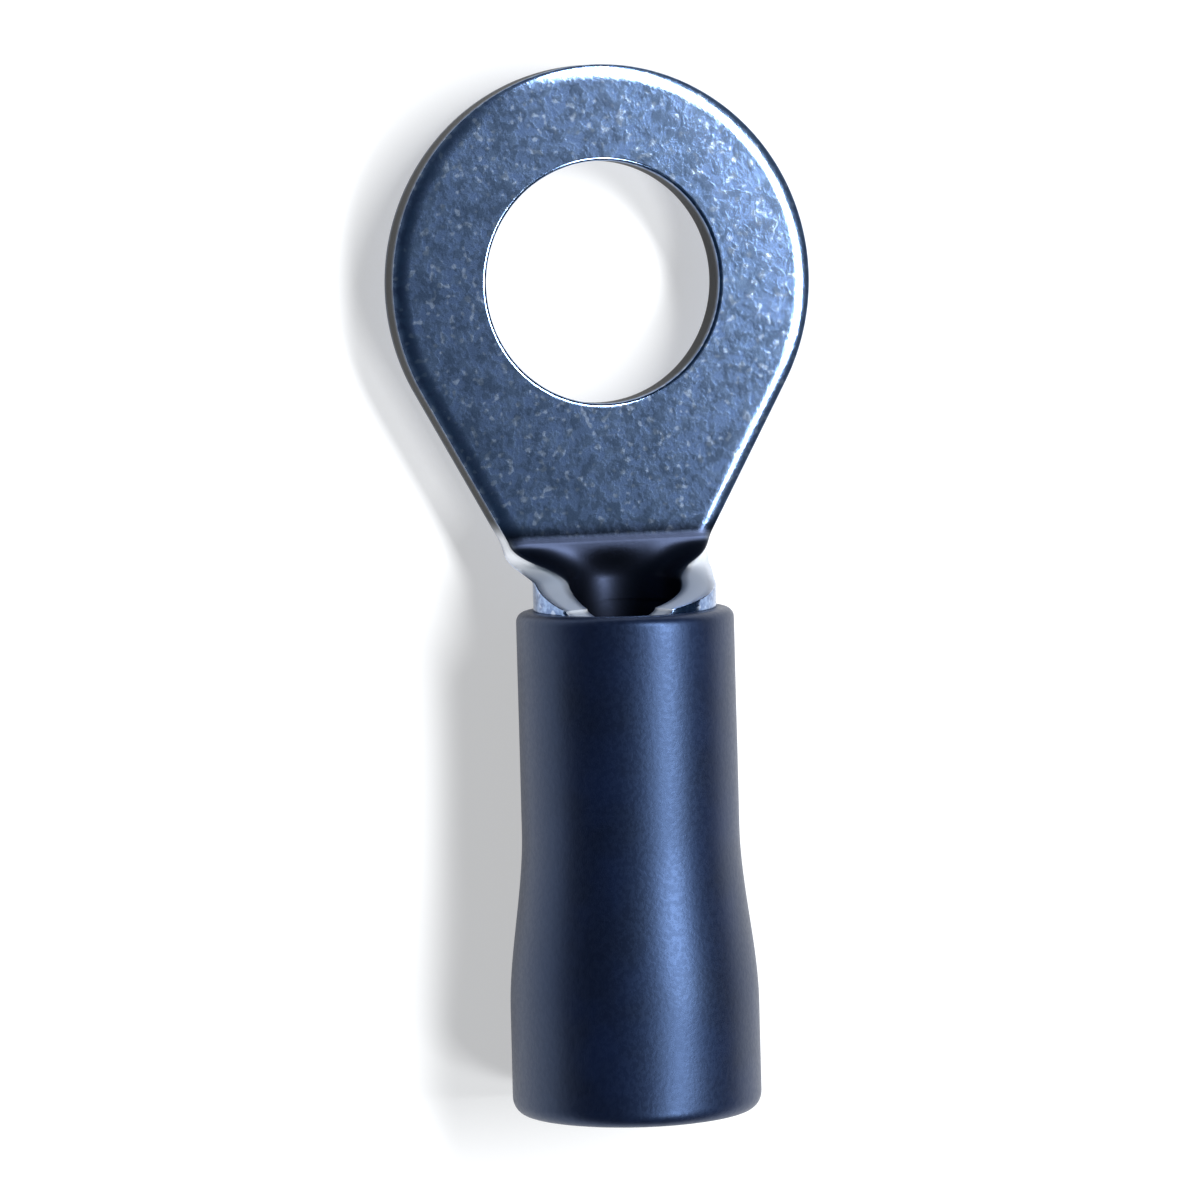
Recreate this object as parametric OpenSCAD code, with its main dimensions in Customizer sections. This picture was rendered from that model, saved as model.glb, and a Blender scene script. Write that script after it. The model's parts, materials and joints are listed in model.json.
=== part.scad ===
// Insulated ring terminal for an M5 stud and 1.5 to 2.5 mm2 stranded wire.
//
// The metal terminal is one stamped sheet. Its flat ring tongue narrows to a neck, the neck curls up
// through a short open throat, and the throat closes into a wire barrel with a butt seam near its top.
// A vinyl sleeve is pressed over the barrel and widens behind it into a mouth for the wire's insulation.
//
// Sizes are in millimetres. The origin is the centre of the stud hole on the tongue's underside.
// +Z is up, and +Y points at the tip of the ring. The barrel and the sleeve run along -Y, and a
// distance named "behind" is measured from the stud hole towards -Y.

/* [Ring tongue] */
// Diameter of the stud hole
stud_hole_d = 5.3; // [4.3:0.1:6]
// Outside diameter of the ring
ring_d = 9.5; // [8.8:0.1:10]
// Thickness of the stamped sheet
sheet_t = 0.8; // [0.7:0.02:0.9]
// Width of the neck at its narrowest
neck_w = 4.4; // [4:0.1:4.8]
// Angle between each tapered side and the centre line
taper_deg = 29; // [27:1:32]
// Radius of the hollow blend from a tapered side into the neck
neck_blend_r = 1.4; // [1.2:0.1:2.8]
// Distance from the stud hole back to the bend line, where the throat starts to curl
bend_behind = 5.65; // [5.4:0.05:6.1]
// Radius of the rolled-over upper edge of the sheet
edge_r = 0.22; // [0.12:0.02:0.3]
// Width of the small chamfer round both rims of the stud hole
hole_chamfer = 0.06; // [0.02:0.01:0.12]

/* [Wire barrel] */
// Diameter of the barrel's bore
bore_d = 2.4; // [2.2:0.05:2.6]
// Length of the closed barrel
barrel_l = 5; // [4.2:0.1:6]
// Length of the open throat between the bend line and the barrel
throat_l = 1.35; // [1.1:0.05:1.6]
// Length of the throat's end that is already as round as the barrel
settled_l = 0.5; // [0.3:0.05:0.6]
// How much later than the trough's floor the outer parts of the sheet start to curl
edge_lag = 0.1; // [0:0.05:0.3]
// Width of the trough's floor, which curls first
floor_w = 2; // [1.4:0.1:2.6]
// Height of the tongue's underside above the barrel's underside
tongue_rise = 0.25; // [0:0.05:0.4]
// Width of the butt seam along the barrel
seam_w = 0.06; // [0.04:0.02:0.2]
// Width of the opening between the curled edges where the throat meets the barrel
throat_gap = 1.4; // [0.8:0.1:1.8]
// How far the butt seam is turned from the top of the barrel towards -X, in degrees
seam_turn = 21; // [0:1:30]
// Width of the chamfer round the barrel's rear bore
bore_chamfer = 0.15; // [0.05:0.05:0.3]

/* [Insulating sleeve] */
// Length of the sleeve
sleeve_l = 11; // [10.4:0.1:12.5]
// Wall of the sleeve over the barrel
sleeve_wall = 0.38; // [0.3:0.02:0.5]
// How far the sleeve's front edge sits behind the barrel's front edge
sleeve_setback = 0.1; // [0.05:0.05:0.4]
// Outside diameter of the sleeve's mouth
mouth_d = 5.46; // [5.2:0.02:5.8]
// Wall of the sleeve at its mouth
mouth_wall = 0.42; // [0.3:0.02:0.5]
// Length of the straight entry bore inside the mouth
entry_l = 3; // [2:0.1:3.6]
// How far in front of the barrel's rear edge the sleeve starts to widen
flare_lead = 0.1; // [0:0.05:0.6]
// Length over which the sleeve widens
flare_l = 3.9; // [2.5:0.1:4.8]
// Radius of the sleeve's soft outer edges
rim_r = 0.3; // [0.15:0.05:0.4]

/* [Hidden] */

metal_colour = [0.5, 0.6, 0.78];
vinyl_colour = [0.08, 0.12, 0.27];
through = 1;                 // how far a cutter runs past the faces it cuts
tau = 360 / PI / 2;          // degrees in a radian

ring_r = ring_d / 2;
bore_r = bore_d / 2;
barrel_r = bore_r + sheet_t;
axis_z = barrel_r - tongue_rise;
roll_r = bore_r + sheet_t / 2;                 // radius of the rolled sheet's middle layer
barrel_behind = bend_behind + throat_l;        // front edge of the closed barrel

// The neck's hollow blend is an arc between the tapered side and the straight neck.
blend_x = neck_w / 2 + neck_blend_r;
blend_behind = (ring_r - neck_w / 2 * cos(taper_deg)) / sin(taper_deg)
             + neck_blend_r * tan(taper_deg / 2);

// Half width of the flattened sheet where the throat meets the barrel
shoulder_s = roll_r * (180 - asin(min(1, throat_gap / bore_d))) / tau;
shoulder_l = barrel_behind - blend_behind;
shoulder_sweep = 1.5;        // 1 is a straight shoulder, and more makes it start more gently

buried = 0.1;                // how far the throat's end is sunk into the barrel's wall
skin = 0.015;                // how far inside the barrel's two faces that sunk end lies

ring_steps = 30;             // facets along half of the ring
neck_steps = 12;             // facets from the ring to the bend line
throat_steps = 27;           // facets along the throat
roll_steps = 28;             // facets across the throat
edge_steps = 5;              // facets round the rolled-over edge

sleeve_front_behind = barrel_behind + sleeve_setback;
sleeve_r = barrel_r + sleeve_wall;
mouth_r = mouth_d / 2;
entry_r = mouth_r - mouth_wall;
seat_l = barrel_l - sleeve_setback;            // how much of the barrel the sleeve covers
flare_start = seat_l - flare_lead;
flare_steps = 24;            // facets along the widening
rim_steps = 6;               // facets round each soft edge

function clamp01(v) = min(1, max(0, v));
function ease(v) = v * v * (3 - 2 * v);

// How round the sheet is at a distance behind the stud hole: 0 is flat and 1 is the barrel. The curl
// starts at the bend line, or later by lag.
function roundness(behind, lag) =
    ease(clamp01((behind - bend_behind - lag) / (throat_l - settled_l - lag)));

// Width that one side of the flattened sheet gains at its shoulder: side is 1 on the right and -1 on
// the left, and the right side is wider where the seam is turned to the left
function shoulder_rise(side) = shoulder_s + side * roll_r * seam_turn / tau - neck_w / 2;

// Slope of that shoulder, as width gained for each millimetre of length
function shoulder_slope(v, side) = shoulder_sweep * shoulder_rise(side) * pow(v, shoulder_sweep - 1)
                                 / shoulder_l;

// Width of one side of the flattened sheet behind the ring, with its edge moved in by inset
function half_w(behind, inset, side) =
    behind < blend_behind - (neck_blend_r + inset) * sin(taper_deg)
        ? (ring_r - inset - behind * sin(taper_deg)) / cos(taper_deg)
    : behind < blend_behind
        ? blend_x - sqrt(pow(neck_blend_r + inset, 2) - pow(blend_behind - behind, 2))
    : let (slope = shoulder_slope(clamp01((behind - blend_behind) / shoulder_l), side),
           lean = sqrt(1 + pow(slope, 2)),
           v = clamp01((behind - inset * slope / lean - blend_behind) / shoulder_l))
        neck_w / 2 + shoulder_rise(side) * pow(v, shoulder_sweep) - inset / lean;

// The rolled-over edge as [inset, height] pairs, from the straight side up to the upper face
rolled_edge = [for (k = [0 : edge_steps]) let (a = 90 * k / edge_steps)
    [edge_r * (1 - cos(a)), sheet_t - edge_r * (1 - sin(a))]];

// The right half of the tongue's outline, from the tip of the ring to the bend line
function tongue_half(inset) = concat(
    [for (i = [0 : ring_steps]) let (a = 90 - (90 + taper_deg) * i / ring_steps)
        [(ring_r - inset) * cos(a), (ring_r - inset) * sin(a)]],
    [for (j = [1 : neck_steps])
        let (start = ring_r * sin(taper_deg), behind = start + (bend_behind - start) * j / neck_steps)
        [half_w(behind, inset, 1), -behind]]);

// The flat tongue without its stud hole: one outline at each height, mirrored about the centre line
module tongue_blank() {
    levels = concat([[0, 0]], rolled_edge);
    rows = ring_steps + neck_steps + 1;
    last = rows - 1;
    top = len(levels) - 1;
    side = len(levels) * rows;
    halves = [for (l = levels) tongue_half(l[0])];
    right = [for (k = [0 : top]) for (p = halves[k]) [p.x, p.y, levels[k][1]]];
    left = [for (p = right) [-p.x, p.y, p.z]];
    function r(k, i) = k * rows + i;
    function l(k, i) = i == 0 ? r(k, 0) : side + k * rows + i;   // both halves share the tip
    walls = [for (k = [0 : top - 1]) for (i = [0 : last - 1]) each [
        [r(k, i), r(k, i + 1), r(k + 1, i + 1)],
        [r(k, i), r(k + 1, i + 1), r(k + 1, i)],
        [l(k, i), l(k + 1, i + 1), l(k, i + 1)],
        [l(k, i), l(k + 1, i), l(k + 1, i + 1)]]];
    faces = [for (i = [0 : last - 1]) each concat(
        [[r(0, i), l(0, i + 1), r(0, i + 1)], [r(top, i), r(top, i + 1), l(top, i + 1)]],
        i == 0 ? [] : [[r(0, i), l(0, i), l(0, i + 1)], [r(top, i), l(top, i + 1), l(top, i)]])];
    end = [concat([for (k = [top : -1 : 0]) r(k, last)], [for (k = [0 : top]) l(k, last)])];
    polyhedron(points = concat(right, left), faces = concat(walls, faces, end));
}

// One cross-section of the flattened sheet as [across, up] pairs: the lower face from left to right,
// the right edge, the upper face from right to left, then the left edge
function sheet_section(behind) =
    let (left = -half_w(behind, 0, -1), right = half_w(behind, 0, 1),
         upper_left = -half_w(behind, edge_r, -1), upper_right = half_w(behind, edge_r, 1))
    concat(
        [for (i = [0 : roll_steps]) [left + (right - left) * i / roll_steps, 0]],
        [for (e = rolled_edge) [half_w(behind, e[0], 1), e[1]]],
        [for (i = [1 : roll_steps - 1])
            [upper_right + (upper_left - upper_right) * i / roll_steps, sheet_t]],
        [for (k = [edge_steps : -1 : 0]) [-half_w(behind, rolled_edge[k][0], -1), rolled_edge[k][1]]]);

// The sideways and upward run of an arc of length l that starts at angle a and bends by k for each
// millimetre, where k is 1 over its radius
function arc_run(l, a, k) = k < 0.0001
    ? [l * cos(a), l * sin(a)]
    : [sin(a + k * l * tau) - sin(a), cos(a) - cos(a + k * l * tau)] / k;

// Curls a point of the flat section, given as [across, up], at a distance behind the stud hole. The
// floor is one arc and the outer part of each side another. thin draws both faces into the sheet.
function curled(p, behind, thin) =
    let (floor_k = roundness(behind, 0) / roll_r, outer_k = roundness(behind, edge_lag) / roll_r,
         on_floor = min(abs(p.x), floor_w / 2), beyond = abs(p.x) - on_floor,
         turn = floor_k * on_floor * tau, turned = turn + outer_k * beyond * tau,
         mid = arc_run(on_floor, 0, floor_k) + arc_run(beyond, turn, outer_k),
         lift = (p.y - sheet_t / 2) * (1 - 2 * thin / sheet_t))
    [sign(p.x) * (mid.x - lift * sin(turned)),
     sheet_t / 2 - tongue_rise * roundness(behind, 0) + mid.y + lift * cos(turned)];

// The open throat: sections that start as the neck's and end inside the wall of the barrel
module throat() {
    stations = concat(
        [for (i = [0 : throat_steps]) bend_behind + throat_l * i / throat_steps],
        [barrel_behind + buried]);
    loop = 2 * roll_steps + 2 * edge_steps + 2;
    last = len(stations) - 1;
    right = roll_steps;                     // index of the lower right corner in a section
    points = [for (b = stations)
        for (p = sheet_section(min(b, barrel_behind)))
        let (c = curled(p, b, skin * roundness(b, 0))) [c.x, -b, c.y]];
    function at(s, i) = s * loop + i % loop;
    function top(i) = right + 1 + edge_steps + roll_steps - i;   // upper point above lower point i
    walls = [for (s = [0 : last - 1]) for (i = [0 : loop - 1]) each [
        [at(s, i), at(s + 1, i + 1), at(s, i + 1)],
        [at(s, i), at(s + 1, i), at(s + 1, i + 1)]]];
    middle = [for (i = [0 : roll_steps - 1]) each [
        [i, top(i + 1), i + 1], [i, top(i), top(i + 1)]]];
    corners = [for (k = [1 : edge_steps]) each [
        [right, right + k + 1, right + k], [0, loop - k, loop - k - 1]]];
    front = [for (f = concat(middle, corners)) [for (v = [f[0], f[2], f[1]]) at(0, v)]];
    back = [for (f = concat(middle, corners)) [for (v = f) at(last, v)]];
    polyhedron(points = points, faces = concat(walls, front, back));
}

// A shape drawn along +Z from the origin, laid along the barrel's axis from a distance behind the hole
module along_barrel(behind) {
    translate([0, -behind, axis_z]) rotate([90, 0, 0]) children();
}

module barrel() {
    along_barrel(barrel_behind) difference() {
        cylinder(r = barrel_r, h = barrel_l, $fn = 96);
        translate([0, 0, -through]) cylinder(r = bore_r, h = barrel_l + 2 * through, $fn = 96);
        translate([0, 0, barrel_l - bore_chamfer])
            cylinder(r1 = bore_r, r2 = bore_r + 2 * bore_chamfer, h = 2 * bore_chamfer, $fn = 96);
        rotate([0, 0, seam_turn]) translate([-seam_w / 2, 0, -through])
            cube([seam_w, barrel_r + through, barrel_l + 2 * through]);
    }
}

module stud_hole() {
    hole_r = stud_hole_d / 2;
    translate([0, 0, -through]) cylinder(r = hole_r, h = sheet_t + 2 * through, $fn = 96);
    for (z = [0, sheet_t])
        translate([0, 0, z - hole_chamfer]) cylinder(
            r1 = hole_r + (z == 0 ? 2 : 0) * hole_chamfer, r2 = hole_r + (z == 0 ? 0 : 2) * hole_chamfer,
            h = 2 * hole_chamfer, $fn = 96);
}

module terminal_body() {
    color(metal_colour) union() {
        difference() {
            tongue_blank();
            stud_hole();
        }
        throat();
        barrel();
    }
}

module insulating_sleeve() {
    lip_r = sleeve_wall / 2;
    rim_start = sleeve_l - rim_r;
    outside = concat(
        [for (k = [0 : rim_steps]) let (a = 90 * k / rim_steps)
            [sleeve_r - lip_r * (1 - sin(a)), lip_r * (1 - cos(a))]],
        [for (k = [0 : flare_steps]) let (v = k / flare_steps)
            [sleeve_r + (mouth_r - sleeve_r) * ease(v), flare_start + flare_l * v]],
        [for (k = [0 : rim_steps]) let (a = 90 * k / rim_steps)
            [mouth_r - rim_r * (1 - cos(a)), rim_start + rim_r * sin(a)]]);
    inside = [
        [entry_r, sleeve_l],
        [entry_r, sleeve_l - entry_l],
        [barrel_r, seat_l],
        [barrel_r, 0]];
    color(vinyl_colour) along_barrel(sleeve_front_behind)
        rotate_extrude($fn = 96) polygon(concat(outside, inside));
}

terminal_body();
insulating_sleeve();
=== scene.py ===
"""Dresses an insulated ring terminal: a plated ring tongue that rolls into a wire barrel, and the
vinyl sleeve pressed over the barrel. It is laid out as an add-on and is run as a script.

Lengths are in metres. The origin is the centre of the stud hole on the tongue's underside, +Z is up
and +Y points at the tip of the ring. "Behind" is a distance from the stud hole towards -Y.
"""

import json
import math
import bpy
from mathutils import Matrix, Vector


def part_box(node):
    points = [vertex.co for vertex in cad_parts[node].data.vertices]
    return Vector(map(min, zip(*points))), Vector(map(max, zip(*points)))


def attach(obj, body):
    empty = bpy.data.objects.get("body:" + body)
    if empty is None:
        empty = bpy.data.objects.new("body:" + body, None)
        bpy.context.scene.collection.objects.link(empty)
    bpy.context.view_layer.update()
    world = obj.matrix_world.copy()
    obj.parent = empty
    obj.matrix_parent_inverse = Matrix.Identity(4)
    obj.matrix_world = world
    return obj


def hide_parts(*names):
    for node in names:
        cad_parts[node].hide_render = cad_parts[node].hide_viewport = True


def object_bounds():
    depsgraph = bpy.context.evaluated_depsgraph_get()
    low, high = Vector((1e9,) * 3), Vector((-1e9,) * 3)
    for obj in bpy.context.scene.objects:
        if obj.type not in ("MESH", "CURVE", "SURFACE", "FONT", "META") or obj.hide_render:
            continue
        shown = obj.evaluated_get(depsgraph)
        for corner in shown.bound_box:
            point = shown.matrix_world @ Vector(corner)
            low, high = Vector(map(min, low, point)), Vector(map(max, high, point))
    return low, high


bl_info = {
    "name": "Insulated Ring Terminal",
    "version": (1, 0, 0),
    "blender": (4, 5, 0),
    "location": "3D View > Sidebar > Ring Terminal",
    "description": "Makes the rolled metal body, the vinyl sleeve and the stage of a ring terminal",
    "category": "Object",
}

import bmesh
import bpy
from mathutils import Matrix, Vector

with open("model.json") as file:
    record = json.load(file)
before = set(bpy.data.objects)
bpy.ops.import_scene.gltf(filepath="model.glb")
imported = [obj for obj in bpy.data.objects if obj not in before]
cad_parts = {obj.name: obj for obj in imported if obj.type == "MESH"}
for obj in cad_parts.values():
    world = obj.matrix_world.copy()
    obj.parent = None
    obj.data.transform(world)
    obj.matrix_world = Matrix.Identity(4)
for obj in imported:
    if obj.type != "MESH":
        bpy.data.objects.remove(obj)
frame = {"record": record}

MM = 0.001
CAD_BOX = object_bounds()
BODY_LOW, BODY_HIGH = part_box("terminal_body")
SLEEVE_LOW, SLEEVE_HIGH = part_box("insulating_sleeve")
MOUNTS = {mount["name"]: mount for mount in frame["record"]["mounts"]}
MIDDLE_Y = (CAD_BOX[0].y + CAD_BOX[1].y) / 2
AXIS_Z = (BODY_LOW.z + BODY_HIGH.z) / 2
BARREL_R = (BODY_HIGH.z - BODY_LOW.z) / 2
HOLE_R = MOUNTS["stud_hole"]["dims"]["r_mm"] * MM
BORE_R = MOUNTS["wire_barrel"]["dims"]["r_mm"] * MM
ENTRY_R = MOUNTS["insulation_entry"]["dims"]["r_mm"] * MM
ENTRY_L = MOUNTS["insulation_entry"]["dims"]["length_mm"] * MM
WELD = 0.0005 * MM


# ---------------------------------------------------------------------------------------------
# Sizes and colours that a user would change
# ---------------------------------------------------------------------------------------------


def length(name, description, default):
    """A length property in metres."""
    return bpy.props.FloatProperty(
        name=name, description=description, default=default, min=0.0, unit="LENGTH", precision=5
    )


def angle(name, description, degrees):
    """An angle property, with its default given in degrees."""
    return bpy.props.FloatProperty(
        name=name, description=description, default=math.radians(degrees), subtype="ANGLE"
    )


def colour(name, description, default):
    """A colour property."""
    return bpy.props.FloatVectorProperty(
        name=name, description=description, default=default, size=3, min=0.0, max=1.0, subtype="COLOR"
    )


class TerminalSizes(bpy.types.PropertyGroup):
    """Sizes of the stamped and rolled sheet."""

    ring_d: length("Ring diameter", "Outside diameter of the ring", 2 * BODY_HIGH.y)
    hole_d: length("Stud hole", "Diameter of the stud hole", 2 * HOLE_R)
    sheet_t: length("Sheet thickness", "Thickness of the stamped sheet", BARREL_R - BORE_R)
    neck_w: length("Neck width", "Width of the neck at its narrowest", 4.4 * MM)
    taper: angle("Taper", "Angle between each tapered side and the centre line", 29)
    neck_blend_r: length("Neck blend", "Radius of the hollow blend into the neck", 1.4 * MM)
    bend_behind: length("Bend line", "Distance from the stud hole back to the bend line", 5.65 * MM)
    throat_l: length("Throat length", "Length of the open throat before the barrel", 1.35 * MM)
    settled_l: length("Settled length", "End of the throat that is already round", 0.5 * MM)
    edge_lag: length("Edge lag", "How much later the outer parts of the sheet start to curl", 0.1 * MM)
    floor_w: length("Floor width", "Width of the trough's floor, which curls first", 2.0 * MM)
    throat_gap: length("Throat gap", "Opening between the curled edges at the barrel", 1.4 * MM)
    seam_turn: angle("Seam turn", "How far the butt seam is turned from the barrel's top to -X", 21)
    closing_l: length("Closing length", "Length over which the gap narrows to the seam", 0.5 * MM)
    seam_w: length("Seam width", "Width of the butt seam", 0.04 * MM)
    roll_w: length("Edge roll width", "Width of the rolled-over upper edge", 0.36 * MM)
    roll_turn: angle("Edge roll turn", "How far that edge turns down from the upper face", 14)
    lip_r: length("Edge lip radius", "Radius between the edge roll and the wall", 0.04 * MM)
    burr_r: length("Lower edge radius", "Radius of the sheared lower edge", 0.03 * MM)
    rim_r: length("Hole rim radius", "Radius of the stud hole's two rims", 0.07 * MM)
    mark_depth: length("Die mark depth", "Depth of the die's mark across the neck", 0.004 * MM)


class SleeveSizes(bpy.types.PropertyGroup):
    """Sizes of the vinyl sleeve."""

    mouth_r: length("Mouth radius", "Outside radius of the sleeve's mouth", SLEEVE_HIGH.x)
    wall: length("Wall", "Wall of the sleeve over the barrel", 0.38 * MM)
    flare_lead: length("Flare lead", "How far before the barrel's end the sleeve widens", 0.1 * MM)
    flare_l: length("Flare length", "Length over which the sleeve widens", 3.9 * MM)
    front_r: length("Front edge radius", "Radius of the front edge's outer corner", 0.22 * MM)
    rim_r: length("Mouth edge radius", "Radius of the mouth's outer corner", 0.36 * MM)
    inner_rim_r: length("Mouth inner radius", "Radius of the mouth's inner corner", 0.12 * MM)
    waviness: length("Waviness", "How far the soft wall wanders from true", 0.03 * MM)
    segments: bpy.props.IntProperty(
        name="Segments", description="Faces round the sleeve", default=160, min=24
    )


class TerminalFinish(bpy.types.PropertyGroup):
    """Colours of the finishes and of the floor."""

    plating: colour("Plating", "Colour of the bright plating", (0.265, 0.37, 0.58))
    plating_shade: colour("Plating shade", "Colour of the plating's dull patches", (0.12, 0.18, 0.33))
    worn: colour("Worn plating", "Colour of the flecks and scuffs", (0.60, 0.68, 0.82))
    # Partly the dull sheared metal's own colour and partly painted shade: darkened to near black for
    # walls that sit in shade.
    sheared: colour("Sheared metal", "Colour of the sheared edges", (0.07, 0.068, 0.065))
    burnished: colour("Burnished edge", "Colour of the sheared edges at the curl", (0.90, 0.92, 0.96))
    # Painted shade: the curl's inner face is painted near black where the throat lies in shade.
    worked_and_painted_shade: colour("Painted throat shade", "Colour of the curl's inner face", (0.025, 0.03, 0.05))
    vinyl: colour("Vinyl", "Colour of the sleeve", (0.0015, 0.0022, 0.008))
    vinyl_bloom: colour("Vinyl bloom", "Colour of its paler patches", (0.0025, 0.005, 0.019))
    paper: colour("Floor", "Colour of the floor", (0.56, 0.52, 0.49))


# ---------------------------------------------------------------------------------------------
# Shared helpers
# ---------------------------------------------------------------------------------------------


def ease(v):
    """0 to 1 with a soft start and a soft stop."""
    v = min(1.0, max(0.0, v))
    return v * v * (3 - 2 * v)


def steps(start, end, count):
    """count evenly spaced values after start, of which the last is end."""
    return [start + (end - start) * k / count for k in range(1, count + 1)]


def quarter_turn(count):
    """Angles from 0 to a quarter turn, in count equal steps."""
    return [math.pi / 2 * k / count for k in range(count + 1)]


def maths_node(tree, operation, *values):
    """A Math node over sockets and numbers."""
    node = tree.nodes.new("ShaderNodeMath")
    node.operation = operation
    for socket, value in zip(node.inputs, values):
        if isinstance(value, bpy.types.NodeSocket):
            tree.links.new(value, socket)
        else:
            socket.default_value = value
    return node.outputs[0]


def new_piece(name, mesh):
    """Links a mesh to the scene as a new object at the origin."""
    piece = bpy.data.objects.new(name, mesh)
    bpy.context.scene.collection.objects.link(piece)
    return piece


# ---------------------------------------------------------------------------------------------
# The metal body
# ---------------------------------------------------------------------------------------------


class Sheet:
    """The stamped sheet: its flat outline, its edge, and the way it curls up into the barrel."""

    COLUMNS = 56
    RING_STEPS = 100
    NECK_STEPS = 26
    CHORD_BEHIND = 5.1 * MM
    SHOULDER_SWEEP = 1.5
    MARK_W = 0.035 * MM

    def __init__(self, sizes):
        self.sizes = sizes
        self.t = sizes.sheet_t
        self.ring_r = sizes.ring_d / 2
        self.roll_r = BORE_R + self.t / 2
        self.barrel_behind = sizes.bend_behind + sizes.throat_l
        self.blend_behind = (self.ring_r - sizes.neck_w / 2 * math.cos(sizes.taper)) / math.sin(
            sizes.taper
        ) + sizes.neck_blend_r * math.tan(sizes.taper / 2)
        self.shoulder_half = self.roll_r * (math.pi - math.asin(sizes.throat_gap / 2 / BORE_R))
        self.barrel_half = self.roll_r * math.pi - sizes.seam_w / 2
        self.lip_w = sizes.lip_r * (1 - math.sin(sizes.roll_turn))
        self.arc_r = (sizes.roll_w - self.lip_w) / math.sin(sizes.roll_turn)
        self.arc_h = self.arc_r * (1 - math.cos(sizes.roll_turn))
        self.roll_h = self.arc_h + sizes.lip_r * math.cos(sizes.roll_turn)
        self.edge = self.edge_profile()

    def edge_profile(self):
        """(inset, height) pairs up the sheared edge, from the underside to the upper face."""
        s = self.sizes
        lower = [
            (s.burr_r * (1 - math.sin(a)), s.burr_r * (1 - math.cos(a))) for a in quarter_turn(2)
        ]
        wall = [(0.0, h) for h in steps(s.burr_r, self.t - self.roll_h, 4)]
        lip = [
            (s.lip_r * (1 - math.sin(a)), self.t - self.roll_h + s.lip_r * math.cos(a))
            for a in steps(math.pi / 2, s.roll_turn, 5)
        ]
        upper = [
            (s.roll_w - self.arc_r * math.sin(a), self.t - self.arc_r * (1 - math.cos(a)))
            for a in steps(s.roll_turn, 0.0, 6)
        ]
        return lower + wall + lip + upper

    def half_width(self, behind, inset, side=1):
        """Width of one side of the flattened sheet, with its edge moved in by inset. side is 1 on the
        right and -1 on the left, and the sides differ only where the seam's turn makes them."""
        s = self.sizes
        blend_r = s.neck_blend_r + inset
        if behind < self.blend_behind - blend_r * math.sin(s.taper):
            return (self.ring_r - inset - behind * math.sin(s.taper)) / math.cos(s.taper)
        if behind < self.blend_behind:
            run = self.blend_behind - behind
            return s.neck_w / 2 + s.neck_blend_r - math.sqrt(blend_r**2 - run**2)
        run = self.barrel_behind - self.blend_behind
        rise = self.shoulder_half - s.neck_w / 2 + side * self.roll_r * s.seam_turn
        v = min(1.0, (behind - self.blend_behind) / run)
        slope = self.SHOULDER_SWEEP * rise * v ** (self.SHOULDER_SWEEP - 1) / run
        if behind >= self.barrel_behind:
            slope = 0.0
        lean = math.sqrt(1 + slope**2)
        v = min(1.0, max(0.0, (behind - inset * slope / lean - self.blend_behind) / run))
        closing = ease((behind - self.barrel_behind) / s.closing_l)
        gain = rise * v**self.SHOULDER_SWEEP + (self.barrel_half - self.shoulder_half) * closing
        return s.neck_w / 2 + gain - inset / lean

    def bare(self, height):
        """1 on the straight sheared wall, fading to 0 on both faces of the sheet."""
        top = self.t - self.roll_h
        return ease(height / (0.05 * MM)) * ease((top + 0.06 * MM - height) / (0.1 * MM))

    def roundness(self, behind, lag):
        """0 where the sheet is flat and 1 where it is as round as the barrel."""
        s = self.sizes
        return ease((behind - s.bend_behind - lag) / (s.throat_l - s.settled_l - lag))

    def placed(self, across, up, behind):
        """A point of the flat section at a distance behind the hole, where the curl puts it."""
        s = self.sizes
        floor_k = self.roundness(behind, 0.0) / self.roll_r
        outer_k = self.roundness(behind, s.edge_lag) / self.roll_r
        on_floor = min(abs(across), s.floor_w / 2)
        turn = floor_k * on_floor
        x1, z1 = arc_run(on_floor, 0.0, floor_k)
        x2, z2 = arc_run(abs(across) - on_floor, turn, outer_k)
        turned = turn + outer_k * (abs(across) - on_floor)
        lift = up - self.t / 2
        x = math.copysign(x1 + x2 - lift * math.sin(turned), across)
        z = self.t / 2 + BODY_LOW.z * self.roundness(behind, 0.0) + z1 + z2 + lift * math.cos(turned)
        return Vector((x, -behind, z))

    def section(self, behind, shrink=0.0):
        """One closed section as points: the underside from left to right, the right edge, the upper
        face from right to left, and the left edge. shrink lowers the upper face, for the chamfer."""
        n = self.COLUMNS
        (low_inset, _), (top_inset, _) = self.edge[0], self.edge[-1]
        left, right = -self.half_width(behind, low_inset, -1), self.half_width(behind, low_inset)
        top_left = -self.half_width(behind, top_inset, -1)
        top_right = self.half_width(behind, top_inset)
        flat = [(left + (right - left) * i / n, 0.0) for i in range(n + 1)]
        flat += [(self.half_width(behind, inset), h) for inset, h in self.edge[1:]]
        flat += [(top_right + (top_left - top_right) * i / n, self.t) for i in range(1, n)]
        flat += [(-self.half_width(behind, inset, -1), h) for inset, h in self.edge[:0:-1]]
        from_bend = (behind - self.sizes.bend_behind) / self.MARK_W
        mark = self.sizes.mark_depth * math.exp(-(from_bend**2))
        scale = (self.t - shrink) / self.t
        points = []
        for across, up in flat:
            on_upper_face = up > 0.99 * self.t
            points.append(self.placed(across, up * scale - mark * on_upper_face, behind))
        return points

    def side(self, inset):
        """The tongue's outline from the chord's right end round the ring's tip to its left end."""
        s = self.sizes
        tangent = math.pi / 2 + s.taper
        right = []
        for k in range(self.RING_STEPS + 1):
            a = math.pi / 2 - tangent * k / self.RING_STEPS
            right.append(((self.ring_r - inset) * math.cos(a), (self.ring_r - inset) * math.sin(a)))
        for behind in steps(self.ring_r * math.sin(s.taper), self.CHORD_BEHIND, self.NECK_STEPS):
            right.append((self.half_width(behind, inset), -behind))
        return right[::-1] + [(-x, y) for x, y in right[1:]]

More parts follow.
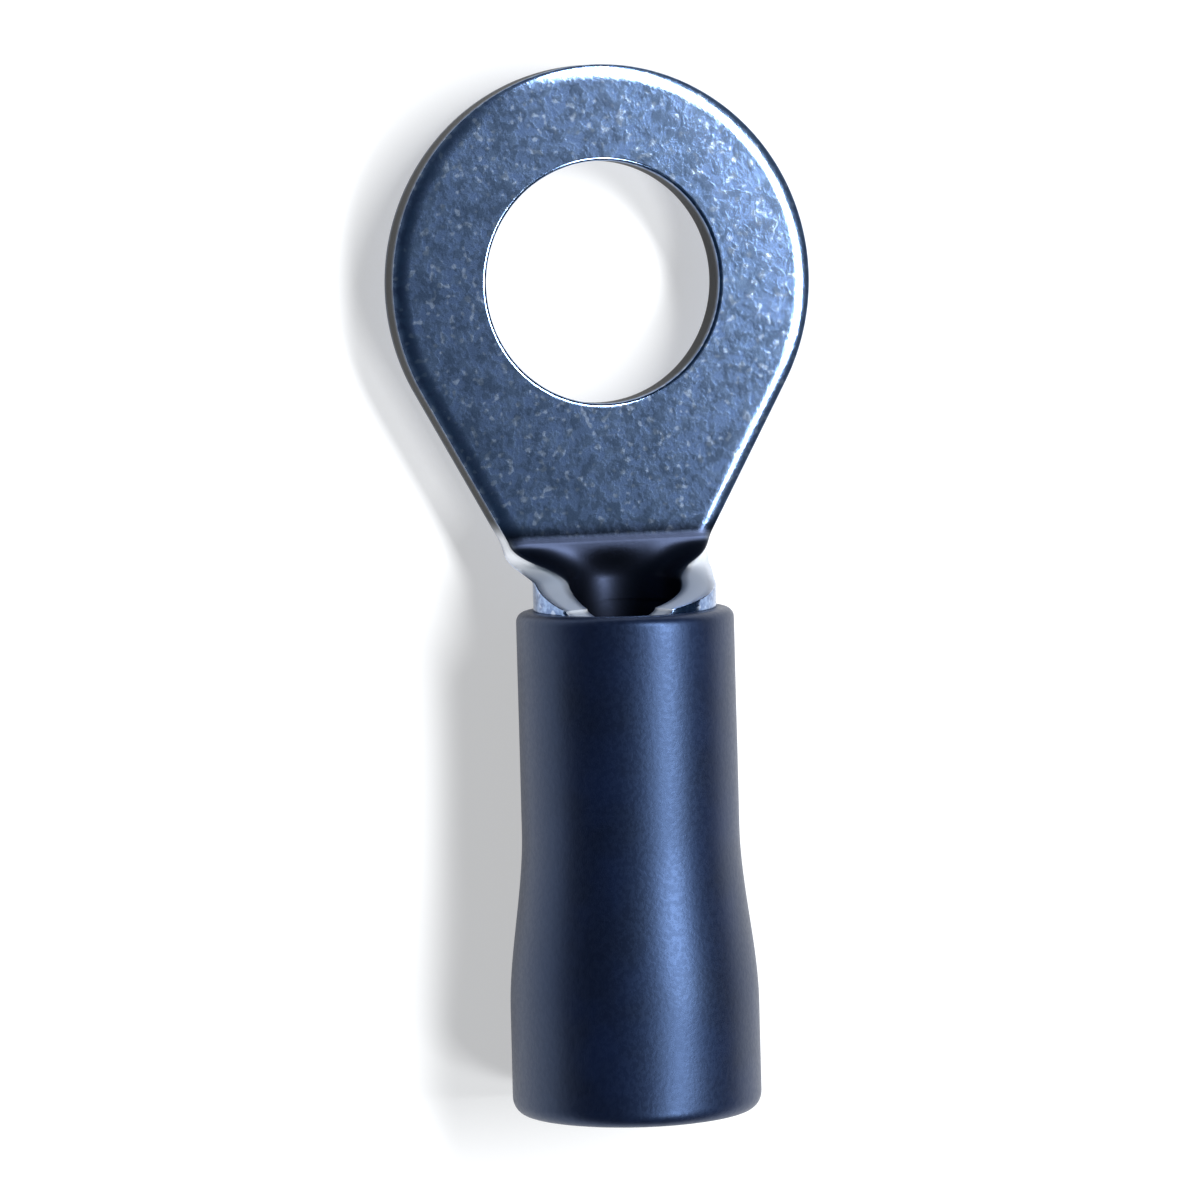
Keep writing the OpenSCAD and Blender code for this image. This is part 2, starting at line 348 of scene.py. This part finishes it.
    def chord(self, inset):
        """The points strictly between the outline's two ends, from left to right."""
        half = self.half_width(self.CHORD_BEHIND, inset)
        n = self.COLUMNS
        return [(half * (2 * i / n - 1), -self.CHORD_BEHIND) for i in range(1, n)]


def arc_run(length_, start, k):
    """Sideways and upward run of an arc that starts at an angle and has a curvature k."""
    if k < 1e-3:
        return length_ * math.cos(start), length_ * math.sin(start)
    end = start + k * length_
    return (math.sin(end) - math.sin(start)) / k, (math.cos(start) - math.cos(end)) / k


def add_rows(bm, rows, closed, sheared=None):
    """Joins neighbouring rows of points with quads. sheared gives each point's share of bare edge."""
    layer = bm.verts.layers.float.get("sheared") or bm.verts.layers.float.new("sheared")
    made = [[bm.verts.new(p) for p in row] for row in rows]
    for j, row in enumerate(made):
        for i, vert in enumerate(row):
            vert[layer] = sheared(j, i) if sheared else 0.0
    count = len(rows[0])
    for a, b in zip(made, made[1:]):
        for i in range(count if closed else count - 1):
            j = (i + 1) % count
            bm.faces.new((a[i], a[j], b[j], b[i]))
    return made


def tongue_faces(bm, sheet):
    """The flat tongue with its stud hole, up to the chord where the rolled part takes over."""
    s = sheet.sizes
    hole_r = s.hole_d / 2
    quarter = quarter_turn(4)
    closest_at_the_edges = (0.0, 0.015, 0.06, 0.2, 0.4, 0.6, 0.8, 0.94, 0.985, 1.0)

    def face(inset, z):
        outline = sheet.side(inset) + sheet.chord(inset)
        turns = [math.atan2(y, x) for x, y in outline]
        rim = [((hole_r + s.rim_r) * math.cos(a), (hole_r + s.rim_r) * math.sin(a)) for a in turns]
        between = [
            [(hx + (x - hx) * f, hy + (y - hy) * f, z) for (hx, hy), (x, y) in zip(rim, outline)]
            for f in closest_at_the_edges
        ]
        add_rows(bm, between, closed=True)
        return turns

    upper_turns = face(sheet.edge[-1][0], sheet.t)
    face(sheet.edge[0][0], 0.0)
    bore = [(hole_r + s.rim_r * (1 - math.sin(a)), s.rim_r * (1 - math.cos(a))) for a in quarter]
    bore += [(hole_r, h) for h in steps(s.rim_r, sheet.t - s.rim_r, 4)]
    bore += [
        (hole_r + s.rim_r * (1 - math.cos(a)), sheet.t - s.rim_r * (1 - math.sin(a)))
        for a in quarter[1:]
    ]
    hole = [[(r * math.cos(a), r * math.sin(a), z) for a in upper_turns] for r, z in bore]
    add_rows(bm, hole, closed=True, sheared=lambda j, i: sheet.bare(bore[j][1]))
    wall = [[(x, y, h) for x, y in sheet.side(inset)] for inset, h in sheet.edge]
    add_rows(bm, wall, closed=False, sheared=lambda j, i: sheet.bare(sheet.edge[j][1]))


def rolled_faces(bm, sheet):
    """The neck, the open throat and the barrel, as sections joined one to the next."""
    s = sheet.sizes
    end = -BODY_LOW.y
    chamfer = 0.15 * MM
    near_bend = 0.12 * MM
    stations = [sheet.CHORD_BEHIND]
    for stop, count in (
        (s.bend_behind - near_bend, 5),
        (s.bend_behind + near_bend, 16),
        (sheet.barrel_behind, 44),
        (sheet.barrel_behind + s.closing_l, 12),
        (end - chamfer, 16),
    ):
        stations += steps(stations[-1], stop, count)
    rows = [sheet.section(behind) for behind in stations]
    rows.append(sheet.section(end, shrink=chamfer))
    n, e = sheet.COLUMNS, len(sheet.edge) - 1
    edge_heights = [h for _, h in sheet.edge]
    heights = [0.0] * n + edge_heights + [sheet.t] * (n - 1) + edge_heights[::-1]
    made = add_rows(bm, rows, closed=True, sheared=lambda j, i: sheet.bare(heights[i]))
    inner = bm.verts.layers.float["inner"]
    for row in made:
        for vert, height in zip(row, heights):
            vert[inner] = height / sheet.t
    last = made[-1]

    def upper(i):
        return n + e + (n - i)

    for i in range(n):
        bm.faces.new((last[i], last[i + 1], last[upper(i + 1)], last[upper(i)]))
    bm.faces.new(last[n : n + e + 1])
    bm.faces.new(last[upper(0) :] + last[:1])


def body_mesh(sizes):
    """The whole metal body as one closed mesh. Its attribute "sheared" marks the sheared edges, and
    "inner" the face that the curl turns inwards."""
    sheet = Sheet(sizes)
    bm = bmesh.new()
    bm.verts.layers.float.new("inner")
    tongue_faces(bm, sheet)
    rolled_faces(bm, sheet)
    bmesh.ops.remove_doubles(bm, verts=bm.verts, dist=WELD)
    bmesh.ops.recalc_face_normals(bm, faces=bm.faces)
    mesh = bpy.data.meshes.new("terminal_body_dressed")
    bm.to_mesh(mesh)
    bm.free()
    mesh.shade_smooth()
    mesh.set_sharp_from_angle(angle=math.radians(40))
    return mesh


# ---------------------------------------------------------------------------------------------
# The vinyl sleeve
# ---------------------------------------------------------------------------------------------


def sleeve_profile(sizes):
    """The sleeve's closed wall as (radius, distance from its front edge), front edge first."""
    seat_l = -BODY_LOW.y + SLEEVE_HIGH.y
    full_l = SLEEVE_HIGH.y - SLEEVE_LOW.y
    outer_r = BARREL_R + sizes.wall
    flare_start = seat_l - sizes.flare_lead
    quarter = quarter_turn(8)
    rim_share = 0.8
    front = [
        (outer_r - sizes.front_r * (1 - math.sin(a)), sizes.front_r * (1 - math.cos(a)))
        for a in quarter
    ]
    straight = [(outer_r, y) for y in steps(sizes.front_r, flare_start, 10)]
    flare = [
        (outer_r + (sizes.mouth_r - outer_r) * ease(v), flare_start + sizes.flare_l * v)
        for v in steps(0, 1, 24)
    ]
    flare_end = flare_start + sizes.flare_l
    skirt = [(sizes.mouth_r, y) for y in steps(flare_end, full_l - sizes.rim_r, 4)]
    rim = [
        (
            sizes.mouth_r - sizes.rim_r * (1 - math.cos(a)) * rim_share,
            full_l - sizes.rim_r * (1 - math.sin(a)),
        )
        for a in quarter[1:]
    ]
    inner_rim = [
        (
            ENTRY_R + sizes.inner_rim_r * (1 - math.sin(a)),
            full_l - sizes.inner_rim_r * (1 - math.cos(a)),
        )
        for a in quarter
    ]
    entry = [(ENTRY_R, y) for y in steps(full_l - sizes.inner_rim_r, full_l - ENTRY_L, 6)]
    seat_gap = 0.004 * MM
    inner_r = BARREL_R + seat_gap
    funnel = [
        (ENTRY_R + (inner_r - ENTRY_R) * v, full_l - ENTRY_L + (seat_l - full_l + ENTRY_L) * v)
        for v in steps(0, 1, 8)
    ]
    seat = [(inner_r, y) for y in steps(seat_l, 0.0, 8)]
    return front + straight + flare + skirt + rim + inner_rim + entry + funnel + seat


def revolve_tree():
    """Geometry Nodes that turn a closed profile about the barrel's axis, with a soft wander."""
    tree = bpy.data.node_groups.new("revolved_wall", "GeometryNodeTree")
    face = tree.interface
    face.new_socket("Profile", in_out="INPUT", socket_type="NodeSocketGeometry")
    for name, kind in (
        ("Rows", "NodeSocketInt"),
        ("Segments", "NodeSocketInt"),
        ("Axis Height", "NodeSocketFloat"),
        ("Waviness", "NodeSocketFloat"),
        ("Wave Scale", "NodeSocketFloat"),
        ("Seed", "NodeSocketFloat"),
        ("Finish", "NodeSocketMaterial"),
    ):
        face.new_socket(name, in_out="INPUT", socket_type=kind)
    face.new_socket("Wall", in_out="OUTPUT", socket_type="NodeSocketGeometry")
    node = tree.nodes.new
    link = tree.links.new
    inputs = node("NodeGroupInput")
    outputs = node("NodeGroupOutput")

    def maths(operation, *values):
        return maths_node(tree, operation, *values)

    grid = node("GeometryNodeMeshGrid")
    grid.inputs["Size X"].default_value = 1.0
    grid.inputs["Size Y"].default_value = 1.0
    link(maths("ADD", inputs.outputs["Segments"], 1), grid.inputs["Vertices X"])
    link(maths("ADD", inputs.outputs["Rows"], 1), grid.inputs["Vertices Y"])
    place = node("GeometryNodeInputPosition")
    split = node("ShaderNodeSeparateXYZ")
    link(place.outputs[0], split.inputs[0])
    turn = maths("MULTIPLY", maths("ADD", split.outputs["X"], 0.5), 2 * math.pi)
    share = maths("ADD", split.outputs["Y"], 0.5)
    row = maths("ROUND", maths("MULTIPLY", share, inputs.outputs["Rows"]))
    sample = node("GeometryNodeSampleIndex")
    sample.data_type = "FLOAT_VECTOR"
    profile_place = node("GeometryNodeInputPosition")
    link(inputs.outputs["Profile"], sample.inputs["Geometry"])
    link(profile_place.outputs[0], sample.inputs["Value"])
    link(maths("MODULO", row, inputs.outputs["Rows"]), sample.inputs["Index"])
    picked = node("ShaderNodeSeparateXYZ")
    link(sample.outputs[0], picked.inputs[0])
    radius = picked.outputs["X"]
    joined = node("ShaderNodeCombineXYZ")
    link(maths("MULTIPLY", radius, maths("SINE", turn)), joined.inputs["X"])
    link(picked.outputs["Y"], joined.inputs["Y"])
    lift = maths("MULTIPLY", radius, maths("COSINE", turn))
    link(maths("ADD", lift, inputs.outputs["Axis Height"]), joined.inputs["Z"])
    shape = node("GeometryNodeSetPosition")
    link(grid.outputs["Mesh"], shape.inputs["Geometry"])
    link(joined.outputs[0], shape.inputs["Position"])
    weld = node("GeometryNodeMergeByDistance")
    weld.inputs["Distance"].default_value = WELD
    link(shape.outputs[0], weld.inputs["Geometry"])
    noise = node("ShaderNodeTexNoise")
    noise.noise_dimensions = "4D"
    noise.inputs["Detail"].default_value = 1.0
    link(inputs.outputs["Wave Scale"], noise.inputs["Scale"])
    link(inputs.outputs["Seed"], noise.inputs["W"])
    wander = node("ShaderNodeVectorMath")
    wander.operation = "SUBTRACT"
    wander.inputs[1].default_value = (0.5, 0.5, 0.5)
    link(noise.outputs["Color"], wander.inputs[0])
    scaled = node("ShaderNodeVectorMath")
    scaled.operation = "SCALE"
    link(wander.outputs[0], scaled.inputs[0])
    link(inputs.outputs["Waviness"], scaled.inputs["Scale"])
    soften = node("GeometryNodeSetPosition")
    link(weld.outputs[0], soften.inputs["Geometry"])
    link(scaled.outputs[0], soften.inputs["Offset"])
    smooth = node("GeometryNodeSetShadeSmooth")
    link(soften.outputs[0], smooth.inputs["Geometry"])
    real = node("GeometryNodeRealizeInstances")
    link(smooth.outputs[0], real.inputs[0])
    finish = node("GeometryNodeSetMaterial")
    link(real.outputs[0], finish.inputs["Geometry"])
    link(inputs.outputs["Finish"], finish.inputs["Material"])
    link(finish.outputs[0], outputs.inputs["Wall"])
    return tree


def sleeve_mesh(sizes, finish):
    """The sleeve as a plain closed mesh, made by the tree from its profile."""
    profile = [Vector((r, SLEEVE_HIGH.y - along, 0.0)) for r, along in sleeve_profile(sizes)]
    line = bpy.data.meshes.new("sleeve_profile")
    rows = len(profile)
    line.from_pydata(profile, [(i, (i + 1) % rows) for i in range(rows)], [])
    maker = new_piece("sleeve_maker", line)
    tree = revolve_tree()
    modifier = maker.modifiers.new("revolve", "NODES")
    modifier.node_group = tree
    values = {
        "Rows": rows,
        "Segments": sizes.segments,
        "Axis Height": AXIS_Z,
        "Waviness": sizes.waviness,
        "Wave Scale": 0.25 / MM,
        "Seed": 3.0,
        "Finish": finish,
    }
    for item in tree.interface.items_tree:
        if item.name in values:
            modifier[item.identifier] = values[item.name]
    depsgraph = bpy.context.evaluated_depsgraph_get()
    mesh = bpy.data.meshes.new_from_object(maker.evaluated_get(depsgraph))
    bpy.data.objects.remove(maker)
    bm = bmesh.new()
    bm.from_mesh(mesh)
    bmesh.ops.recalc_face_normals(bm, faces=bm.faces)
    bm.to_mesh(mesh)
    bm.free()
    return mesh


# ---------------------------------------------------------------------------------------------
# Finishes
# ---------------------------------------------------------------------------------------------


def shader_group(name, inputs, outputs):
    """An empty shader node group with named sockets, and its input and output nodes."""
    tree = bpy.data.node_groups.new(name, "ShaderNodeTree")
    for socket, value in inputs:
        made = tree.interface.new_socket(socket, in_out="INPUT", socket_type="NodeSocketFloat")
        made.default_value = value
    for socket in outputs:
        tree.interface.new_socket(socket, in_out="OUTPUT", socket_type="NodeSocketFloat")
    return tree, tree.nodes.new("NodeGroupInput"), tree.nodes.new("NodeGroupOutput")


def in_millimetres(tree):
    """Object coordinates counted in millimetres."""
    place = tree.nodes.new("ShaderNodeTexCoord")
    scale = tree.nodes.new("ShaderNodeVectorMath")
    scale.operation = "SCALE"
    scale.inputs["Scale"].default_value = 1 / MM
    tree.links.new(place.outputs["Object"], scale.inputs[0])
    return scale.outputs[0]


def remap(tree, value, low, high, to_low=0.0, to_high=1.0, smooth=True):
    """Maps low..high on to to_low..to_high, held at both ends."""
    node = tree.nodes.new("ShaderNodeMapRange")
    node.interpolation_type = "SMOOTHSTEP" if smooth else "LINEAR"
    for socket, number in zip(node.inputs[1:5], (low, high, to_low, to_high)):
        socket.default_value = number
    tree.links.new(value, node.inputs[0])
    return node.outputs[0]


def mottle_group():
    """Patches of three kinds, a soft cloud, fine grains and sparse flecks, and their height."""
    tree, inputs, outputs = shader_group(
        "mottle",
        [("Cloud Scale", 1.2), ("Grain Scale", 7.0), ("Fleck Scale", 6.0), ("Seed", 0.0)],
        ["Cloud", "Grain", "Fleck", "Height"],
    )
    place = in_millimetres(tree)
    found = {}
    for name, detail, rough, low, high in (
        ("Cloud", 3.0, 0.55, 0.32, 0.68),
        ("Grain", 2.0, 0.6, 0.38, 0.62),
        ("Fleck", 0.0, 0.5, 0.63, 0.74),
    ):
        noise = tree.nodes.new("ShaderNodeTexNoise")
        noise.noise_dimensions = "4D"
        noise.inputs["Detail"].default_value = detail
        noise.inputs["Roughness"].default_value = rough
        tree.links.new(place, noise.inputs["Vector"])
        tree.links.new(inputs.outputs[f"{name} Scale"], noise.inputs["Scale"])
        tree.links.new(inputs.outputs["Seed"], noise.inputs["W"])
        found[name] = remap(tree, noise.outputs["Fac"], low, high)
        tree.links.new(found[name], outputs.inputs[name])
    height = maths_node(tree, "MULTIPLY_ADD", found["Cloud"], 0.6, found["Grain"])
    tree.links.new(height, outputs.inputs["Height"])
    return tree


def scratch_group():
    """Fine scuffs in three directions, as thin stretched streaks that come and go."""
    tree, inputs, outputs = shader_group("scuffs", [("Scale", 3.0), ("Amount", 0.5)], ["Mask"])
    place = in_millimetres(tree)
    masks = []
    for turn, seed in ((0.3, 1.0), (1.8, 5.0), (2.7, 9.0)):
        mapping = tree.nodes.new("ShaderNodeMapping")
        mapping.inputs["Rotation"].default_value = (0.0, 0.0, turn)
        mapping.inputs["Scale"].default_value = (1.0, 9.0, 1.0)
        tree.links.new(place, mapping.inputs["Vector"])
        noise = tree.nodes.new("ShaderNodeTexNoise")
        noise.noise_dimensions = "4D"
        noise.inputs["Detail"].default_value = 1.0
        noise.inputs["W"].default_value = seed
        tree.links.new(mapping.outputs[0], noise.inputs["Vector"])
        tree.links.new(inputs.outputs["Scale"], noise.inputs["Scale"])
        masks.append(remap(tree, noise.outputs["Fac"], 0.68, 0.78))
    total = masks[0]
    for mask in masks[1:]:
        total = maths_node(tree, "MAXIMUM", total, mask)
    total = maths_node(tree, "MULTIPLY", total, inputs.outputs["Amount"])
    tree.links.new(total, outputs.inputs["Mask"])
    return tree


def shared_groups():
    """The node groups that both finishes use, built once."""
    made = {"mottle": mottle_group, "scuffs": scratch_group}
    return {name: bpy.data.node_groups.get(name) or build() for name, build in made.items()}


def new_material(name):
    """An empty material with its shader."""
    material = bpy.data.materials.new(name)
    material.use_nodes = True
    shader = next(n for n in material.node_tree.nodes if n.type == "BSDF_PRINCIPLED")
    return material, material.node_tree, shader


def place_group(tree, group, **values):
    """A node group in a material, with its own values."""
    node = tree.nodes.new("ShaderNodeGroup")
    node.node_tree = group
    for name, value in values.items():
        node.inputs[name.replace("_", " ").title()].default_value = value
    return node


def mixed(tree, factor, a, b):
    """A mix of two colours, each of them a colour or a socket."""
    node = tree.nodes.new("ShaderNodeMix")
    node.data_type = "RGBA"
    tree.links.new(factor, node.inputs["Factor"])
    for socket, value in ((node.inputs[6], a), (node.inputs[7], b)):
        if isinstance(value, bpy.types.NodeSocket):
            tree.links.new(value, socket)
        else:
            socket.default_value = (*value, 1.0)
    return node.outputs[2]


def attribute(tree, name):
    """The value that the mesh holds under a name."""
    node = tree.nodes.new("ShaderNodeAttribute")
    node.attribute_name = name
    return node.outputs["Fac"]


def add_bump(tree, shader, height, strength, distance):
    """Feeds a height to the shader's normal."""
    bump = tree.nodes.new("ShaderNodeBump")
    bump.inputs["Strength"].default_value = strength
    bump.inputs["Distance"].default_value = distance
    tree.links.new(height, bump.inputs["Height"])
    tree.links.new(bump.outputs[0], shader.inputs["Normal"])


def plating_material(finish, groups):
    """Tumbled tin plating, blue-grey and mottled. It is dull on the sheared edges, which are bright
    again at the curl. The sheared edges are darkened partly as painted shade, and the curl's inner
    face is painted near black as shade in the throat."""
    material, tree, shader = new_material("plated_copper")
    mottle = place_group(tree, groups["mottle"], cloud_scale=2.2, grain_scale=5.5, fleck_scale=7.0)
    scuffs = place_group(tree, groups["scuffs"], scale=1.6, amount=0.12)
    grain = mixed(tree, mottle.outputs["Grain"], finish.plating_shade, finish.plating)
    cloud = maths_node(tree, "MULTIPLY", mottle.outputs["Cloud"], 0.3)
    base = mixed(tree, cloud, grain, finish.plating)
    worn = maths_node(tree, "MULTIPLY", mottle.outputs["Fleck"], 0.5)
    worn = maths_node(tree, "MAXIMUM", worn, scuffs.outputs["Mask"])
    base = mixed(tree, worn, base, finish.worn)
    bare = attribute(tree, "sheared")
    inner = attribute(tree, "inner")
    place = tree.nodes.new("ShaderNodeSeparateXYZ")
    tree.links.new(in_millimetres(tree), place.inputs[0])
    curled = remap(tree, place.outputs["Y"], -5.1, -5.6)
    # Painted shade: the curl's inner face takes the near-black colour, so the throat looks shaded.
    base = mixed(tree, maths_node(tree, "MULTIPLY", curled, inner), base, finish.worked_and_painted_shade)
    # Sheared edges take the dark colour, partly their own dull metal and partly painted shade; at the
    # curl they are burnished bright.
    base = mixed(tree, bare, base, mixed(tree, curled, finish.sheared, finish.burnished))
    tree.links.new(base, shader.inputs["Base Color"])
    dull = maths_node(tree, "MAXIMUM", maths_node(tree, "SUBTRACT", bare, curled), 0.0)
    tree.links.new(maths_node(tree, "SUBTRACT", 1.0, dull), shader.inputs["Metallic"])
    shader.inputs["Specular IOR Level"].default_value = 0.15
    rough = remap(tree, mottle.outputs["Height"], 0.2, 1.4, 0.14, 0.10, smooth=False)
    worked_and_painted_shade = remap(tree, place.outputs["Y"], -5.35, -5.7, 0.0, 0.4)
    rough = maths_node(tree, "MAXIMUM", rough, maths_node(tree, "MULTIPLY", worked_and_painted_shade, inner))
    rough = maths_node(tree, "MAXIMUM", rough, maths_node(tree, "MULTIPLY", bare, 0.55))
    tree.links.new(rough, shader.inputs["Roughness"])
    add_bump(tree, shader, mottle.outputs["Height"], 0.5, 0.001 * MM)
    return material


def vinyl_material(finish, groups):
    """Satin dark blue vinyl with a faint bloom and scuffs."""
    material, tree, shader = new_material("vinyl")
    mottle = place_group(tree, groups["mottle"], cloud_scale=0.8, grain_scale=9.0, seed=4.0)
    scuffs = place_group(tree, groups["scuffs"], scale=1.2, amount=0.5)
    bloom = maths_node(tree, "MAXIMUM", mottle.outputs["Cloud"], scuffs.outputs["Mask"])
    tree.links.new(mixed(tree, bloom, finish.vinyl, finish.vinyl_bloom), shader.inputs["Base Color"])
    rough = remap(tree, mottle.outputs["Grain"], 0.0, 1.0, 0.38, 0.43, smooth=False)
    tree.links.new(rough, shader.inputs["Roughness"])
    shader.inputs["Specular IOR Level"].default_value = 1.0
    shader.inputs["Specular Tint"].default_value = (0.36, 0.54, 1.0, 1.0)
    add_bump(tree, shader, mottle.outputs["Height"], 0.35, 0.003 * MM)
    return material


def floor_material(finish):
    """Matte paper that glows to the camera and in reflections alone, so that it looks white there
    and keeps the part's shadow."""
    material, tree, shader = new_material("paper")
    shader.inputs["Base Color"].default_value = (*finish.paper, 1.0)
    shader.inputs["Roughness"].default_value = 0.9
    shader.inputs["Specular IOR Level"].default_value = 0.0
    seen = tree.nodes.new("ShaderNodeLightPath")
    rays = seen.outputs["Is Camera Ray"]
    for kind in ("Is Glossy Ray", "Is Transmission Ray"):
        rays = maths_node(tree, "MAXIMUM", rays, seen.outputs[kind])
    shader.inputs["Emission Color"].default_value = (1.0, 1.0, 1.0, 1.0)
    tree.links.new(maths_node(tree, "MULTIPLY", rays, 0.5), shader.inputs["Emission Strength"])
    return material


# ---------------------------------------------------------------------------------------------
# Operators
# ---------------------------------------------------------------------------------------------


class TERMINAL_OT_body(bpy.types.Operator):
    """Make the plated metal body: ring tongue, throat and barrel"""

    bl_idname = "terminal.body"
    bl_label = "Metal Body"

    def execute(self, context):
        scene = context.scene
        piece = new_piece("terminal_body_dressed", body_mesh(scene.terminal_sizes))
        piece.data.materials.append(plating_material(scene.terminal_finish, shared_groups()))
        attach(piece, "root")
        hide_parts("terminal_body")
        return {"FINISHED"}


class TERMINAL_OT_sleeve(bpy.types.Operator):
    """Make the flared vinyl sleeve"""

    bl_idname = "terminal.sleeve"
    bl_label = "Vinyl Sleeve"

    def execute(self, context):
        scene = context.scene
        finish = vinyl_material(scene.terminal_finish, shared_groups())
        piece = new_piece("insulating_sleeve_dressed", sleeve_mesh(scene.sleeve_sizes, finish))
        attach(piece, "root")
        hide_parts("insulating_sleeve")
        return {"FINISHED"}


def area_light(name, place, size, power):
    """A soft rectangular light at a place, with the tint of daylight, turned to face the part."""
    light = bpy.data.lights.new(name, "AREA")
    light.shape = "RECTANGLE"
    light.size, light.size_y = size
    light.energy = power
    light.color = (0.85, 0.93, 1.0)
    lamp = bpy.data.objects.new(name, light)
    bpy.context.scene.collection.objects.link(lamp)
    lamp.location = place
    aim = Vector((0.0, MIDDLE_Y, 1.0 * MM))
    lamp.rotation_euler = (aim - Vector(place)).to_track_quat("-Z", "Y").to_euler()


def add_camera(scene):
    """A close camera over the terminal, a little to its left and towards the ring's tip."""
    target = Vector((0.0, MIDDLE_Y, 0.8 * MM))
    left, forward, roll = math.radians(16.4), math.radians(4.6), math.radians(-1.5)
    distance = 0.127
    width = 26.33 * MM
    shift_left, shift_down = 0.26 * MM, 0.29 * MM
    back = Vector((-math.tan(left), math.tan(forward), 1.0)).normalized()
    right = Vector((0.0, 1.0, 0.0)).cross(back).normalized()
    up = back.cross(right)
    right, up = (
        math.cos(roll) * right + math.sin(roll) * up,
        -math.sin(roll) * right + math.cos(roll) * up,
    )
    aim = target - right * shift_left - up * shift_down
    data = bpy.data.cameras.new("camera")
    data.sensor_width = 36.0
    data.lens = data.sensor_width * distance / width
    data.clip_start, data.clip_end = 0.005, 10.0
    camera = bpy.data.objects.new("camera", data)
    scene.collection.objects.link(camera)
    turned = Matrix((right, up, back)).transposed().to_4x4()
    camera.matrix_world = Matrix.Translation(aim + back * distance) @ turned
    scene.camera = camera


def add_floor(scene):
    """A wide floor, a hair below the part's lowest point."""
    bm = bmesh.new()
    bmesh.ops.create_circle(bm, cap_ends=True, radius=0.6, segments=64)
    mesh = bpy.data.meshes.new("floor")
    bm.to_mesh(mesh)
    bm.free()
    floor = new_piece("floor", mesh)
    clearance = 0.01 * MM
    floor.location.z = CAD_BOX[0].z - clearance
    mesh.materials.append(floor_material(scene.terminal_finish))


def add_world(scene):
    """A dim, even, bluish surround."""
    world = bpy.data.worlds.new("surround")
    world.use_nodes = True
    scene.world = world
    tree = world.node_tree
    surround = next(n for n in tree.nodes if n.type == "BACKGROUND")
    surround.inputs["Color"].default_value = (0.38, 0.66, 1.0, 1.0)
    surround.inputs["Strength"].default_value = 0.07


class TERMINAL_OT_stage(bpy.types.Operator):
    """Make the floor, the lights, the surround and the camera"""

    bl_idname = "terminal.stage"
    bl_label = "Stage"

    def execute(self, context):
        scene = context.scene
        add_floor(scene)
        add_world(scene)
        area_light("window", (0.115, 0.052, 0.27), size=(0.21, 0.05), power=1.2)
        area_light("rear_window", (0.088, -0.125, 0.25), size=(0.07, 0.07), power=0.42)
        add_camera(scene)
        scene.view_settings.view_transform = "Standard"
        return {"FINISHED"}


class TERMINAL_PT_panel(bpy.types.Panel):
    """Sizes, finishes and pieces of the ring terminal"""

    bl_idname = "TERMINAL_PT_panel"
    bl_label = "Ring Terminal"
    bl_space_type = "VIEW_3D"
    bl_region_type = "UI"
    bl_category = "Ring Terminal"

    def draw(self, context):
        layout = self.layout
        scene = context.scene
        for operator in OPERATORS:
            layout.operator(operator.bl_idname)
        for group in (scene.terminal_sizes, scene.sleeve_sizes, scene.terminal_finish):
            box = layout.box()
            for name in group.__annotations__:
                box.prop(group, name)


OPERATORS = (TERMINAL_OT_body, TERMINAL_OT_sleeve, TERMINAL_OT_stage)
CLASSES = (TerminalSizes, SleeveSizes, TerminalFinish, *OPERATORS, TERMINAL_PT_panel)


def register():
    """Registers the classes and the settings on the scene."""
    for item in CLASSES:
        bpy.utils.register_class(item)
    bpy.types.Scene.terminal_sizes = bpy.props.PointerProperty(type=TerminalSizes)
    bpy.types.Scene.sleeve_sizes = bpy.props.PointerProperty(type=SleeveSizes)
    bpy.types.Scene.terminal_finish = bpy.props.PointerProperty(type=TerminalFinish)


def unregister():
    """Removes the settings and the classes."""
    for name in ("terminal_sizes", "sleeve_sizes", "terminal_finish"):
        delattr(bpy.types.Scene, name)
    for item in reversed(CLASSES):
        bpy.utils.unregister_class(item)


def main():
    register()
    for call in (bpy.ops.terminal.body, bpy.ops.terminal.sleeve, bpy.ops.terminal.stage):
        call()


if __name__ == "__main__":
    main()
